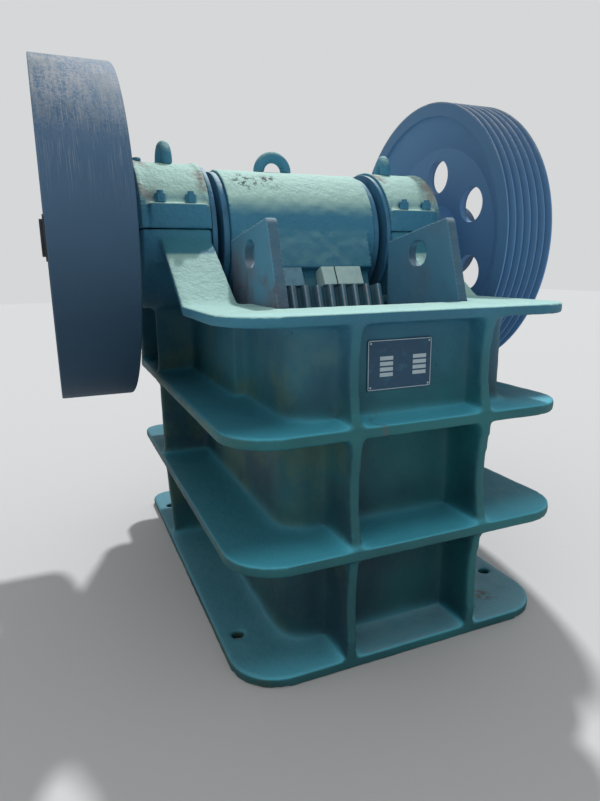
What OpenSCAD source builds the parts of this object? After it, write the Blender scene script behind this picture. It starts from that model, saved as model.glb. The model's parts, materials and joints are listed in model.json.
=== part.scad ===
// Single-toggle jaw crusher with a ribbed one-piece frame, a plain flywheel and a grooved sheave.
// Origin: on the floor, at the centre of the four foundation bolts. +X runs along the shaft
// towards the sheave, -Y faces the feed side, +Z is up. Millimetres.

/* [Frame] */
// Height of the top flange, where the stone is fed in
feed_level = 754; // [740:1:775]
// Top of the second flange
upper_level = 536; // [528:1:545]
// Top of the third flange
lower_level = 287; // [278:1:296]
// Thickness of the top flange
top_flange_t = 24; // [22:1:28]
// Thickness of the second and third flanges
flange_t = 27; // [25:1:30]
// Thickness of the base flange
base_t = 25; // [22:1:28]
// Half width over the three upper flanges
flange_half_w = 403; // [396:1:410]
// From the origin to the front edge of the two upper flanges
flange_front = 600; // [596:1:612]
// How far the third flange stands out in front of the others
lower_reach = 11; // [6:1:14]
// From the origin to the rear edge of the flanges
flange_rear = 525; // [520:1:535]
// Radius of the flanges' front corners
corner_r = 110; // [90:1:120]
// How far the base flange lies behind the others, at the front and at the rear
base_step = 16; // [10:1:20]
// Half width of the crushing chamber between the side walls
chamber_half_w = 240; // [238:1:244]
// Thickness of the side walls
wall_t = 20; // [18:1:24]
// From the origin to the inner face of the front wall
front_wall_in = 425; // [423:1:428]
// From the origin to the front panel under the top flange
top_panel = 540; // [520:1:550]
// From the origin to the front panel of the two lower tiers
low_panel = 485; // [475:1:500]
// From the origin to the inner face of the rear wall
rear_wall_in = 440; // [438:1:444]
// Thickness of the rear wall
rear_wall_t = 35; // [30:1:38]
// Place of the two front ribs from the middle
front_rib_x = 153; // [145:1:160]
// Thickness of every rib
rib_t = 26; // [22:1:28]

/* [Foundation] */
// Distance of the foundation bolts across the frame
bolt_span_x = 696; // [690:1:700]
// Distance of the foundation bolts from front to rear
bolt_span_y = 800; // [790:1:810]
// Diameter of the foundation bolt holes
bolt_hole_d = 26; // [24:1:30]

/* [Shaft and bearings] */
// From the origin back to the shaft
shaft_y = 175; // [173:1:177]
// Height of the shaft
shaft_z = 913; // [910:1:918]
// Radius of the shaft in the main bearings
journal_r = 70; // [66:1:74]
// Radius of the shaft in the wheels
wheel_seat_r = 60; // [56:1:62]
// Outer radius of the main bearings
bearing_r = 112; // [108:1:118]
// Outer radius of the bearing caps
cap_r = 190; // [186:1:194]
// Inner end of the bearing caps
cap_in = 265; // [262:1:268]
// Outer end of the bearing caps
cap_out = 442; // [436:1:446]
// Half length of the bearing blocks from front to rear
block_half_l = 195; // [190:1:198]
// Height of the seat of the bolts above the shaft
bolt_seat_h = 80; // [78:1:84]
// Height of the joint under the caps above the shaft
cap_joint_h = 17; // [14:1:20]

/* [Wheels] */
// Radius of the flywheel
flywheel_r = 421; // [415:1:428]
// Inner face of the flywheel's rim
flywheel_in = 482; // [478:1:486]
// Width of the flywheel's rim
flywheel_w = 180; // [175:1:185]
// Radius of the sheave over its ridges
sheave_r = 417; // [412:1:424]
// Inner face of the sheave's rim
sheave_in = 494; // [490:1:498]
// Number of belt grooves
groove_count = 6; // [5:1:6]
// Distance from groove to groove
groove_pitch = 25.5; // [24:0.5:25.5]
// Depth of the belt grooves
groove_depth = 20; // [16:1:22]
// Thickness of the wheels' webs
web_t = 24; // [22:1:30]
// Number of round holes in each web
web_hole_count = 6; // [5:1:6]
// Diameter of the round holes in the webs
web_hole_d = 105; // [95:1:112]
// Distance of those holes from the shaft
web_hole_r = 204; // [200:1:210]

/* [Jaws] */
// Angle of the swing jaw's plate from the vertical
nip_angle = 19; // [18:0.5:20]
// Height of the swing jaw plate's top edge
jaw_top_z = 788; // [780:1:795]
// From the origin to the swing jaw's teeth at their top
jaw_top_front = 92; // [90:1:95]
// Length of the swing jaw's plate
jaw_plate_l = 640; // [620:5:650]
// Thickness of both jaw plates over their teeth
jaw_plate_t = 55; // [52:1:58]
// Number of teeth on a jaw plate
tooth_count = 11; // [9:1:11]
// Distance from tooth to tooth
tooth_pitch = 37; // [35:0.5:37]
// Depth of the teeth
tooth_depth = 20; // [16:1:22]
// Radius of the swing jaw's round head
head_r = 190; // [186:1:192]
// Half length of the round head
head_half_l = 215; // [212:1:216]
// Half width of the swing jaw below its head
jaw_half_w = 190; // [186:1:196]

/* [Cheek plates] */
// Thickness of the cheek plates
cheek_t = 27; // [25:1:28]
// Highest point of the cheek plates
cheek_top_z = 936; // [925:1:945]
// Height of the lifting hole in the upper cheek plates
cheek_hole_d = 58; // [50:1:62]
// Length of that hole from front to rear
cheek_hole_l = 76; // [70:1:84]

/* [Toggle] */
// Thickness of the toggle plate
toggle_t = 30; // [26:1:32]
// Radius of the tension rod
rod_r = 14; // [12:1:16]
// Radius over the tension spring
spring_r = 42; // [38:1:46]

/* [Hidden] */
$fn = 96;

green = "#1f5a55";
light_green = "#4f9a86";
dark_steel = "#2b3038";
navy = "#27303d";
bare_steel = "#8a8d8f";
manganese = "#5b5049";
rust = "#6b4a3a";

// Running clearance between the shaft and what turns on it
running_gap = 0.05;

// Frame
wall_out = chamber_half_w + wall_t;
wall_corner_r = 60;
rear_corner_r = 60;
rear_wall_out = rear_wall_in + rear_wall_t;
bolt_edge = 44;
base_half_w = bolt_span_x / 2 + bolt_edge;
base_front = flange_front - base_step;
base_rear = flange_rear + base_step;
lower_front = flange_front + lower_reach;
saddle_z = shaft_z + 7;
slope_foot = -245;
block_front = shaft_y - block_half_l;
block_rear = shaft_y + block_half_l;
slope_inner = chamber_half_w + 31;
slope_drop = top_flange_t - 5;
bearing_wall_out = slope_inner + wall_t;
block_inset = 22;
block_low = 70;
rear_slope_foot = rear_wall_out;
joint_z = shaft_z + cap_joint_h;
side_rib_y = shaft_y;
side_rib_reach = flange_half_w - 10;
rib_hollow = 14;
ledge_z = 150;
ledge_h = 22;
ledge_depth = 60;
far = 2000;

// Caps
bolt_seat_z = shaft_z + bolt_seat_h;
cap_bolt_gap = 77;
cap_bolt_y = block_half_l - 14;
cap_mid = (cap_in + cap_out) / 2;
spot_r = 15;
cap_band_w = 12;
cap_band_h = 4;
cap_rise = 9;
bolt_af = 24;
bolt_head_h = 20;
bolt_end_r = 8;
bolt_end_h = 8;

// Lifting loops
loop_r = 42;
loop_bar_r = 16;
cap_loop_x = 345;
head_loop_x = -28;

// Shaft and wheels
bearing_w = 100;
seal_cover_t = 13;
rim_t = 40;
hub_r = 115;
dish_r = 290;
flywheel_out = flywheel_in + flywheel_w;
shaft_end = flywheel_out + 4;
sheave_w = groove_count * groove_pitch + 6;
sheave_out = sheave_in + sheave_w;
sheave_web_in = sheave_in + 64;
flywheel_web_in = flywheel_in + flywheel_w / 2 - web_t / 2;
hub_in = cap_out + seal_cover_t + 5;

// Swing jaw plate frame: its origin is on the tooth tips at the top edge
jaw_origin = [0, -jaw_top_front, jaw_top_z];
slab_t = 60;
wedge_h = 53;
wedge_taper = 9;
wedge_spans = [[20, 58], [61, 140]];
wedge_span_left = [-100, -36];
wedge_inset = 5;
head_flat = 25;
ring_w = 17;
ring_r = 182;
rib_reach_x = jaw_half_w - 10;
slab_above = 200;
foot_t = 24;
rib_drop = 330;
rib_front = 120;
rib_back = 150;
rib_shoulder = 60;
rib_waist = 40;
seat_gap = 12;
jaw_plate_half_w = tooth_count * tooth_pitch / 2;

// Fixed jaw
fixed_top_z = feed_level - 34;
fixed_bottom_z = ledge_z + ledge_h;
fixed_clamp_h = 30;

// Cheeks
cheek_in = chamber_half_w - cheek_t;
cheek_front = front_wall_in - 13;
cheek_rear = -85;
cheek_split_z = 430;
cheek_bottom_z = ledge_z + ledge_h;
cheek_hole_y = -230;
cheek_hole_z = 864;
cheek_cut = 9;
cheek_nose_l = 60;
cheek_top_fall = 36;
cheek_rear_rise = 150;
cheek_rear_step = 52;
cheek_foot_step = 145;
right_nose = 9;

// Toggle
toggle_half_w = 165;
toggle_front = [-112, 232];
toggle_rear = [345, 292];
shim_t = 25;
rod_y0 = -150;
rod_end = 640;
rod_z = 112;
spring_turns_l = 120;
toggle_block_h = 90;
toggle_block_drop = 38;
toggle_block_half_w = toggle_half_w + 20;
ledge_under_block = 24;
washer_t = 8;
nut_h = 22;

// Shared shapes

module left() {
    mirror([1, 0, 0]) children();
}

// Flat outline, mirror-symmetric about the Y axis, with rounded corners
module round_plan(half_w, front, rear, front_r, rear_r) {
    translate([-half_w, -front + front_r])
        square([2 * half_w, front + rear - front_r - rear_r]);
    translate([-half_w + front_r, -front])
        square([2 * (half_w - front_r), 2 * front_r]);
    translate([-half_w + rear_r, rear - 2 * rear_r])
        square([2 * (half_w - rear_r), 2 * rear_r]);
    for (side = [-1, 1]) {
        translate([side * (half_w - front_r), -front + front_r])
            circle(front_r);
        translate([side * (half_w - rear_r), rear - rear_r])
            circle(rear_r);
    }
}

// Plate cut from a [y, z] outline, standing between two places along X
module upright(x0, x1, outline) {
    translate([x0, 0, 0])
        rotate([90, 0, 90])
            linear_extrude(x1 - x0)
                polygon(outline);
}

// Round bar along the shaft's axis, between two places along X
module round_x(x0, x1, r) {
    translate([x0, shaft_y, shaft_z])
        rotate([0, 90, 0])
            cylinder(h = x1 - x0, r = r);
}

module hex_bolt(af, head_h, end_r, end_h) {
    cylinder(h = head_h, d = af / cos(30), $fn = 6);
    cylinder(h = head_h + end_h, r = end_r);
}

// Lifting loop: half a ring on two short legs
module lifting_loop(leg) {
    rotate([90, 0, 0])
        rotate_extrude(angle = 180)
            translate([loop_r, 0])
                circle(loop_bar_r, $fn = 48);
    for (side = [-1, 1])
        translate([side * loop_r, 0, -leg])
            cylinder(h = leg, r = loop_bar_r, $fn = 48);
}

// Frame

module walls_plan(front) {
    round_plan(wall_out, front, rear_wall_out, wall_corner_r, rear_corner_r / 3);
}

module flange_plan(front = flange_front) {
    round_plan(flange_half_w, front, flange_rear, corner_r, rear_corner_r);
}

// Front edge of the flange at this height
function front_at(z) = z == lower_level ? lower_front : flange_front;

// Thickness of the flange at this height
function thickness_at(z) = z == feed_level ? top_flange_t : flange_t;

module base_plan() {
    round_plan(base_half_w, base_front, base_rear, corner_r, rear_corner_r);
}

// Region beside the chamber, on the +X side
module side_region() {
    translate([chamber_half_w, -far])
        square([far, 2 * far]);
}

// Region in front of the chamber
module front_region() {
    translate([-chamber_half_w, -far])
        square([2 * chamber_half_w, far - front_wall_in]);
}

// Region behind the chamber
module rear_region() {
    translate([-chamber_half_w, rear_wall_in])
        square([2 * chamber_half_w, far]);
}

// The four foundation bolt holes
module foundation_holes() {
    for (x = [-bolt_span_x / 2, bolt_span_x / 2], y = [-bolt_span_y / 2, bolt_span_y / 2])
        translate([x, y, -1])
            cylinder(h = base_t + 2, d = bolt_hole_d);
}

// Rib on the front, from the base to the top flange, its front edge hollow between the flanges
module front_rib(x) {
    tiers = [
        [base_t, lower_level - flange_t, (base_front + lower_front) / 2],
        [lower_level, upper_level - flange_t, (lower_front + flange_front) / 2],
        [upper_level, feed_level - top_flange_t, flange_front]
    ];
    difference() {
        upright(x - rib_t / 2, x + rib_t / 2, [
            [-low_panel + 5, base_t / 2],
            [-base_front, base_t / 2],
            [-base_front, base_t],
            [-lower_front, lower_level - flange_t],
            [-lower_front, lower_level],
            [-flange_front, upper_level],
            [-flange_front, feed_level - top_flange_t / 2],
            [-low_panel + 5, feed_level - top_flange_t / 2]
        ]);
        for (tier = tiers)
            rib_edge(x, tier[0], tier[1], tier[2]);
    }
}

// What the hollow front edge takes from a rib between two heights
module rib_edge(x, z0, z1, front) {
    half = (z1 - z0) / 2;
    r = (half * half + rib_hollow * rib_hollow) / (2 * rib_hollow);
    translate([x - rib_t, -front - r + rib_hollow, z0 + half])
        rotate([0, 90, 0])
            cylinder(h = 2 * rib_t, r = r);
}

module frame_front_wall() {
    color(green) {
        // Base, third and second flange
        linear_extrude(base_t)
            intersection() {
                base_plan();
                front_region();
            }
        for (z = [lower_level, upper_level, feed_level])
            translate([0, 0, z - thickness_at(z)])
                linear_extrude(thickness_at(z))
                    intersection() {
                        flange_plan(front_at(z));
                        front_region();
                    }
        // Wall of the two lower tiers
        linear_extrude(upper_level)
            intersection() {
                walls_plan(low_panel);
                front_region();
            }
        // Thicker wall of the top tier
        translate([0, 0, upper_level - flange_t])
            linear_extrude(feed_level - upper_level + flange_t)
                intersection() {
                    walls_plan(top_panel);
                    front_region();
                }
        // Two ribs from the base to the top flange
        for (side = [-1, 1])
            front_rib(side * front_rib_x);
        // Ledge that the fixed jaw plate stands on
        translate([-chamber_half_w, -front_wall_in - 5, ledge_z])
            cube([2 * chamber_half_w, ledge_depth + 5, ledge_h]);
    }
}

// One side of the frame, drawn on the +X side
module frame_side() {
    difference() {
        union() {
            // Base, third and second flange
            linear_extrude(base_t)
                intersection() {
                    base_plan();
                    side_region();
                }
            for (z = [lower_level, upper_level])
                translate([0, 0, z - flange_t])
                    linear_extrude(flange_t)
                        intersection() {
                            flange_plan(front_at(z));
                            side_region();
                        }
            // Top flange, up to the foot of the slope
            translate([0, 0, feed_level - top_flange_t])
                linear_extrude(top_flange_t)
                    intersection() {
                        flange_plan();
                        side_region();
                        translate([0, -far])
                            square([far, far + slope_foot]);
                    }
            // Wall of the two lower tiers
            linear_extrude(upper_level)
                intersection() {
                    walls_plan(low_panel);
                    side_region();
                }
            // Wall of the top tier at the front
            translate([0, 0, upper_level - flange_t])
                linear_extrude(feed_level - upper_level + flange_t)
                    intersection() {
                        walls_plan(top_panel);
                        side_region();
                        translate([0, -far])
                            square([far, far + slope_foot]);
                    }
            // Chamber wall under the bearing
            upright(chamber_half_w, bearing_wall_out, [
                [slope_foot - 10, upper_level - flange_t],
                [slope_foot - 10, feed_level - slope_drop],
                [block_rear, feed_level - slope_drop],
                [rear_slope_foot, upper_level - flange_t / 2],
                [rear_slope_foot, upper_level - flange_t]
            ]);
            // Wall that carries the bearing block, under the sloping flanges
            upright(slope_inner, bearing_wall_out, [
                [slope_foot - 10, upper_level - flange_t],
                [slope_foot - 10, feed_level - slope_drop],
                [slope_foot, feed_level - slope_drop],
                [block_front, saddle_z - slope_drop],
                [block_rear, saddle_z - slope_drop],
                [rear_slope_foot, upper_level - flange_t / 2],
                [rear_slope_foot, upper_level - flange_t]
            ]);
            // Sloping flange from the top flange up to the bearing block
            upright(slope_inner, flange_half_w, [
                [slope_foot, feed_level],
                [slope_foot, feed_level - top_flange_t],
                [block_front + 10, saddle_z - top_flange_t],
                [block_front + 10, saddle_z]
            ]);
            // Flange that falls away behind the bearing block
            upright(slope_inner, flange_half_w, [
                [block_rear - 10, saddle_z - 10],
                [block_rear - 10, saddle_z - 10 - top_flange_t],
                [rear_slope_foot - flange_t, upper_level - flange_t / 2],
                [rear_slope_foot, upper_level - flange_t / 2]
            ]);
            // Block and round housing that carry the main bearing
            translate([slope_inner, block_front, shaft_z - block_low])
                cube([cap_out - block_inset - slope_inner, 2 * block_half_l, block_low + cap_joint_h]);
            round_x(chamber_half_w, cap_out, cap_r);
            // Rib under the bearing
            translate([0, side_rib_y + rib_t / 2, 0])
                rotate([90, 0, 0])
                    linear_extrude(rib_t)
                        polygon([
                            [chamber_half_w + 5, base_t / 2],
                            [base_half_w - 16, base_t / 2],
                            [side_rib_reach, lower_level - flange_t / 2],
                            [side_rib_reach, shaft_z - block_low],
                            [chamber_half_w + 5, shaft_z - block_low]
                        ]);
        }
        // Everything above the joint of the cap
        translate([0, -far, joint_z])
            cube([far, 2 * far, far]);
        round_x(chamber_half_w - 1, cap_out + 1, bearing_r);
        // Round recess for the inner seal cover
        round_x(chamber_half_w - 1, cap_in, cap_r + 8);
        foundation_holes();
    }
}

module frame_right_side() {
    color(green)
        frame_side();
}

module frame_left_side() {
    left()
        frame_right_side();
}

module frame_rear_wall() {
    color(green)
        difference() {
            union() {
                linear_extrude(base_t)
                    intersection() {
                        base_plan();
                        rear_region();
                    }
                for (z = [lower_level, upper_level])
                    translate([0, 0, z - flange_t])
                        linear_extrude(flange_t)
                            intersection() {
                                flange_plan();
                                rear_region();
                            }
                linear_extrude(upper_level)
                    intersection() {
                        walls_plan(low_panel);
                        rear_region();
                    }
                for (side = [-1, 1])
                    translate([side * front_rib_x - rib_t / 2, rear_wall_out - 5, base_t / 2])
                        cube([rib_t, flange_rear - rear_wall_out, upper_level - base_t]);
                // Ledge under the toggle block
                translate([-chamber_half_w, toggle_rear[0], toggle_rear[1] - toggle_block_drop])
                    mirror([0, 0, 1])
                        cube([2 * chamber_half_w, rear_wall_in - toggle_rear[0] + 5, ledge_under_block]);
            }
            // Opening for the tension rod
            translate([0, rear_wall_in - 5, rod_z])
                rotate([-90, 0, 0])
                    cylinder(h = rear_wall_t + 10, r = rod_r + 10);
        }
}

// Bearings

module bearing_cap() {
    color(light_green)
        difference() {
            union() {
                translate([0, 0, cap_rise]) {
                    round_x(cap_in, cap_out, cap_r);
                    for (x = [cap_in, cap_out - cap_band_w])
                        round_x(x, x + cap_band_w, cap_r + cap_band_h);
                }
                translate([cap_in + block_inset / 2, block_front, joint_z])
                    cube([cap_out - cap_in - 1.5 * block_inset, 2 * block_half_l, bolt_seat_z - joint_z]);
            }
            translate([0, -far, joint_z - far])
                cube([far, 2 * far, far]);
            round_x(cap_in - 1, cap_out + 1, bearing_r);
            // Spot faces for the bolts
            for (x = [-1, 1], y = [-1, 1])
                translate([cap_mid + x * cap_bolt_gap / 2, shaft_y + y * cap_bolt_y, bolt_seat_z])
                    cylinder(h = cap_r, r = spot_r);
        }
}

module right_bearing_cap() {
    bearing_cap();
}

module left_bearing_cap() {
    left()
        bearing_cap();
}

module right_cap_bolts() {
    color(green)
        for (x = [-1, 1], y = [-1, 1])
            translate([cap_mid + x * cap_bolt_gap / 2, shaft_y + y * cap_bolt_y, bolt_seat_z])
                hex_bolt(bolt_af, bolt_head_h, bolt_end_r, bolt_end_h);
}

module left_cap_bolts() {
    left()
        right_cap_bolts();
}

// The lifting loops are screwed in, so each has its own turn
module cap_lifting_loop(turn) {
    color(green)
        translate([0, 0, cap_rise])
            difference() {
                translate([cap_loop_x, shaft_y, shaft_z + cap_r])
                    rotate([0, 0, turn])
                        lifting_loop(30);
                round_x(cap_in, cap_out, cap_r);
            }
}

module right_cap_lifting_loop() {
    cap_lifting_loop(73);
}

module left_cap_lifting_loop() {
    left()
        cap_lifting_loop(90);
}

module right_main_bearing() {
    color(bare_steel)
        difference() {
            round_x(cap_mid - bearing_w / 2, cap_mid + bearing_w / 2, bearing_r);
            round_x(cap_mid - bearing_w, cap_mid + bearing_w, journal_r + running_gap);
        }
}

module left_main_bearing() {
    left()
        right_main_bearing();
}

module right_inner_seal_cover() {
    color(navy)
        difference() {
            round_x(cap_in - seal_cover_t, cap_in, cap_r + cap_band_h);
            round_x(cap_in - seal_cover_t - 1, cap_in + 1, journal_r + 3);
        }
}

module left_inner_seal_cover() {
    left()
        right_inner_seal_cover();
}

module right_outer_seal_cover() {
    color(dark_steel)
        difference() {
            round_x(cap_out, cap_out + seal_cover_t, bearing_r + 24);
            round_x(cap_out - 1, cap_out + seal_cover_t + 1, journal_r + 3);
        }
}

module left_outer_seal_cover() {
    left()
        right_outer_seal_cover();
}

// Jaws

// Toothed slab standing on the XY plane, its tooth tips on y = 0, its back at y = jaw_plate_t
module toothed_plate(length) {
    valley = tooth_depth;
    linear_extrude(length)
        polygon(concat(
            [[jaw_plate_half_w, valley], [jaw_plate_half_w, jaw_plate_t],
             [-jaw_plate_half_w, jaw_plate_t], [-jaw_plate_half_w, valley]],
            [for (i = [0 : tooth_count - 1])
                let (x = -jaw_plate_half_w + i * tooth_pitch)
                each [[x + 0.08 * tooth_pitch, valley], [x + 0.36 * tooth_pitch, 0],
                      [x + 0.64 * tooth_pitch, 0], [x + 0.92 * tooth_pitch, valley]]]
        ));
}

// Places something in the leaning frame of the swing jaw's plate
module on_swing_jaw() {
    translate(jaw_origin)
        rotate([-nip_angle, 0, 0])
            children();
}

module fixed_jaw_plate() {
    color(manganese)
        translate([0, -front_wall_in + jaw_plate_t, fixed_bottom_z])
            rotate([0, 0, 180])
                toothed_plate(fixed_top_z - fixed_bottom_z - fixed_clamp_h);
}

module fixed_jaw_clamp() {
    color(green)
        upright(-jaw_plate_half_w, jaw_plate_half_w, [
            [-front_wall_in, fixed_top_z - fixed_clamp_h],
            [-front_wall_in + jaw_plate_t - tooth_depth, fixed_top_z - fixed_clamp_h],
            [-front_wall_in + 18, fixed_top_z],
            [-front_wall_in, fixed_top_z]
        ]);
}

// One cheek plate from the side; nose lifts the front end of its top edge
module cheek_outline(top, nose = 0) {
    peak = cheek_top_z + nose;
    polygon(top ? [
        [-cheek_front, cheek_split_z],
        [cheek_rear - cheek_rear_step, cheek_split_z],
        [cheek_rear, cheek_split_z + cheek_rear_rise],
        [cheek_rear, cheek_top_z - cheek_top_fall],
        [-cheek_front + cheek_nose_l + cheek_cut, peak],
        [-cheek_front + cheek_nose_l, peak - cheek_cut],
        [-cheek_front, feed_level - 3]
    ] : [
        [-cheek_front, cheek_bottom_z],
        [cheek_rear - cheek_foot_step, cheek_bottom_z],
        [cheek_rear - cheek_rear_step, cheek_split_z],
        [-cheek_front, cheek_split_z]
    ]);
}

// Lifting hole, round at both ends
module cheek_hole() {
    half = (cheek_hole_l - cheek_hole_d) / 2;
    for (side = [-1, 1])
        translate([cheek_in - 1, cheek_hole_y + side * half, cheek_hole_z])
            rotate([0, 90, 0])
                cylinder(h = cheek_t + 2, d = cheek_hole_d);
    translate([cheek_in - 1, cheek_hole_y - half, cheek_hole_z - cheek_hole_d / 2])
        cube([cheek_t + 2, 2 * half, cheek_hole_d]);
}

module upper_cheek_plate(nose = 0) {
    color(rust)
        difference() {
            translate([cheek_in, 0, 0])
                rotate([90, 0, 90])
                    linear_extrude(cheek_t)
                        cheek_outline(true, nose);
            cheek_hole();
        }
}

module right_upper_cheek_plate() {
    upper_cheek_plate(right_nose);
}

module left_upper_cheek_plate() {
    left()
        upper_cheek_plate();
}

module right_lower_cheek_plate() {
    color(rust)
        translate([cheek_in, 0, 0])
            rotate([90, 0, 90])
                linear_extrude(cheek_t)
                    cheek_outline(false);
}

module left_lower_cheek_plate() {
    left()
        right_lower_cheek_plate();
}

module swing_jaw_plate() {
    color(manganese)
        on_swing_jaw()
            translate([0, 0, -jaw_plate_l])
                toothed_plate(jaw_plate_l);
}

// Wedges that hold the plate's top edge, two together and one apart
module swing_jaw_wedges() {
    color(light_green)
        on_swing_jaw() {
            for (span = wedge_spans)
                upright(span[0], span[1], [
                    [wedge_inset, 0], [jaw_plate_t, 0], [jaw_plate_t, wedge_h],
                    [wedge_inset + wedge_taper, wedge_h]
                ]);
            upright(wedge_span_left[0], wedge_span_left[1], [
                [2 * wedge_inset, 0], [jaw_plate_t, 0], [jaw_plate_t, wedge_h],
                [2 * wedge_inset + wedge_taper, wedge_h]
            ]);
        }
}

module swing_jaw() {
    back = jaw_plate_t + slab_t;
    foot_front = wedge_inset + tooth_depth;
    color(green)
        difference() {
            union() {
                round_x(-head_half_l, head_half_l, head_r);
                // Slab behind the plate, with a foot under it and a flat face above the wedges
                on_swing_jaw()
                    upright(-jaw_half_w, jaw_half_w, [
                        [foot_front, -jaw_plate_l - foot_t],
                        [back, -jaw_plate_l - foot_t],
                        [back, slab_above],
                        [head_flat, slab_above],
                        [head_flat, wedge_h],
                        [jaw_plate_t, wedge_h],
                        [jaw_plate_t, -jaw_plate_l],
                        [foot_front, -jaw_plate_l]
                    ]);
                // Three ribs down the back
                for (x = [-rib_reach_x, -rib_t / 2, rib_reach_x - rib_t])
                    upright(x, x + rib_t, [
                        [shaft_y - rib_front, shaft_z],
                        [shaft_y + rib_back, shaft_z - rib_shoulder],
                        [shaft_y - rib_waist, shaft_z - rib_drop],
                        [toggle_front[0] - seat_gap - 20, toggle_front[1] + 70],
                        [toggle_front[0] - seat_gap - 20, toggle_front[1] - 30],
                        [toggle_front[0] - 90, toggle_front[1] - 50]
                    ]);
                // Seat for the toggle plate
                translate([-jaw_half_w + 4, toggle_front[0] - seat_gap - 70, toggle_front[1] - 42])
                    cube([2 * jaw_half_w - 8, 70, 84]);
            }
            round_x(-head_half_l - 1, head_half_l + 1, journal_r + running_gap);
        }
}

module head_lifting_loop() {
    color(green)
        difference() {
            translate([head_loop_x, shaft_y, shaft_z + head_r])
                lifting_loop(30);
            round_x(-head_half_l, head_half_l, head_r);
        }
}

module right_head_ring() {
    color(navy)
        difference() {
            round_x(head_half_l, head_half_l + ring_w, ring_r);
            round_x(head_half_l - 1, head_half_l + ring_w + 1, journal_r + 3);
        }
}

module left_head_ring() {
    left()
        right_head_ring();
}

// Toggle and tension rod

module toggle_plate() {
    half_t = toggle_t / 2;
    color(dark_steel)
        upright(-toggle_half_w, toggle_half_w, [
            [toggle_front[0], toggle_front[1] - half_t],
            [toggle_rear[0], toggle_rear[1] - half_t],
            [toggle_rear[0], toggle_rear[1] + half_t],
            [toggle_front[0], toggle_front[1] + half_t]
        ]);
}

module toggle_block() {
    color(green)
        translate([-toggle_block_half_w, toggle_rear[0], toggle_rear[1] - toggle_block_drop])
            cube([2 * toggle_block_half_w, rear_wall_in - shim_t - toggle_rear[0], toggle_block_h]);
}

module adjusting_shims() {
    color(bare_steel)
        translate([-toggle_half_w, rear_wall_in - shim_t, toggle_rear[1] - toggle_block_drop])
            cube([2 * toggle_half_w, shim_t, toggle_block_h]);
}

module tension_rod() {
    color(dark_steel)
        translate([0, rod_y0, rod_z])
            rotate([-90, 0, 0])
                cylinder(h = rod_end - rod_y0, r = rod_r);
}

module ring_y(y, length, outer, inner) {
    translate([0, y, rod_z])
        rotate([-90, 0, 0])
            difference() {
                cylinder(h = length, r = outer);
                translate([0, 0, -1])
                    cylinder(h = length + 2, r = inner);
            }
}

module tension_spring() {
    color(dark_steel)
        ring_y(rear_wall_out + washer_t, spring_turns_l, spring_r, rod_r + 6);
}

module tension_rod_washers() {
    color(bare_steel)
        for (y = [0, washer_t + spring_turns_l])
            ring_y(rear_wall_out + y, washer_t, spring_r + 8, rod_r + running_gap);
}

module tension_rod_nuts() {
    color(bare_steel)
        for (y = [0, nut_h + 2])
            translate([0, rear_wall_out + 2 * washer_t + spring_turns_l + y, rod_z])
                rotate([-90, 0, 0])
                    difference() {
                        cylinder(h = nut_h, d = 3.4 * rod_r, $fn = 6);
                        translate([0, 0, -1])
                            cylinder(h = nut_h + 2, r = rod_r + running_gap);
                    }
}

// Shaft and wheels

module eccentric_shaft() {
    color(bare_steel) {
        round_x(-shaft_end, shaft_end, wheel_seat_r);
        round_x(-hub_in, hub_in, journal_r);
    }
}

// Profile of a wheel about the shaft: [radius, place along X]
module turned(outline) {
    translate([0, shaft_y, shaft_z])
        rotate([0, 90, 0])
            rotate_extrude($fn = 180)
                polygon(outline);
}

module web_holes(x) {
    for (i = [0 : web_hole_count - 1])
        translate([0, shaft_y, shaft_z])
            rotate([i * 360 / web_hole_count, 0, 0])
                translate([x, 0, web_hole_r])
                    rotate([0, 90, 0])
                        cylinder(h = web_t + 2, d = web_hole_d);
}

module flywheel() {
    web = flywheel_web_in;
    color(dark_steel)
        left()
            difference() {
                turned([
                    [wheel_seat_r, hub_in], [hub_r, hub_in], [hub_r, web],
                    [flywheel_r - rim_t, web], [flywheel_r - rim_t, flywheel_in],
                    [flywheel_r, flywheel_in], [flywheel_r, flywheel_out],
                    [flywheel_r - rim_t, flywheel_out], [flywheel_r - rim_t, web + web_t],
                    [hub_r, web + web_t], [hub_r, flywheel_out - 10], [wheel_seat_r, flywheel_out - 10]
                ]);
                web_holes(web - 1);
            }
}

module sheave() {
    web = sheave_web_in;
    color(dark_steel)
        difference() {
            turned(concat(
                [[wheel_seat_r, hub_in], [hub_r, hub_in], [hub_r, web],
                 [dish_r, web], [sheave_r - rim_t, sheave_in + 14], [sheave_r - rim_t, sheave_in],
                 [sheave_r, sheave_in]],
                [for (i = [0 : groove_count - 1])
                    let (x = sheave_in + 3 + i * groove_pitch)
                    each [[sheave_r, x + 0.06 * groove_pitch],
                          [sheave_r - groove_depth, x + 0.28 * groove_pitch],
                          [sheave_r - groove_depth, x + 0.72 * groove_pitch],
                          [sheave_r, x + 0.94 * groove_pitch]]],
                [[sheave_r, sheave_out], [sheave_r - rim_t, sheave_out], [sheave_r - rim_t, web + web_t],
                 [hub_r, web + web_t], [hub_r, sheave_out - 10], [wheel_seat_r, sheave_out - 10]]
            ));
            web_holes(web - 1);
        }
}

module shaft_end_plates() {
    color(bare_steel)
        for (side = [-1, 1])
            translate([side * (shaft_end + 4), 0, 0])
                round_x(-4, 4, wheel_seat_r - 12);
}

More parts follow.
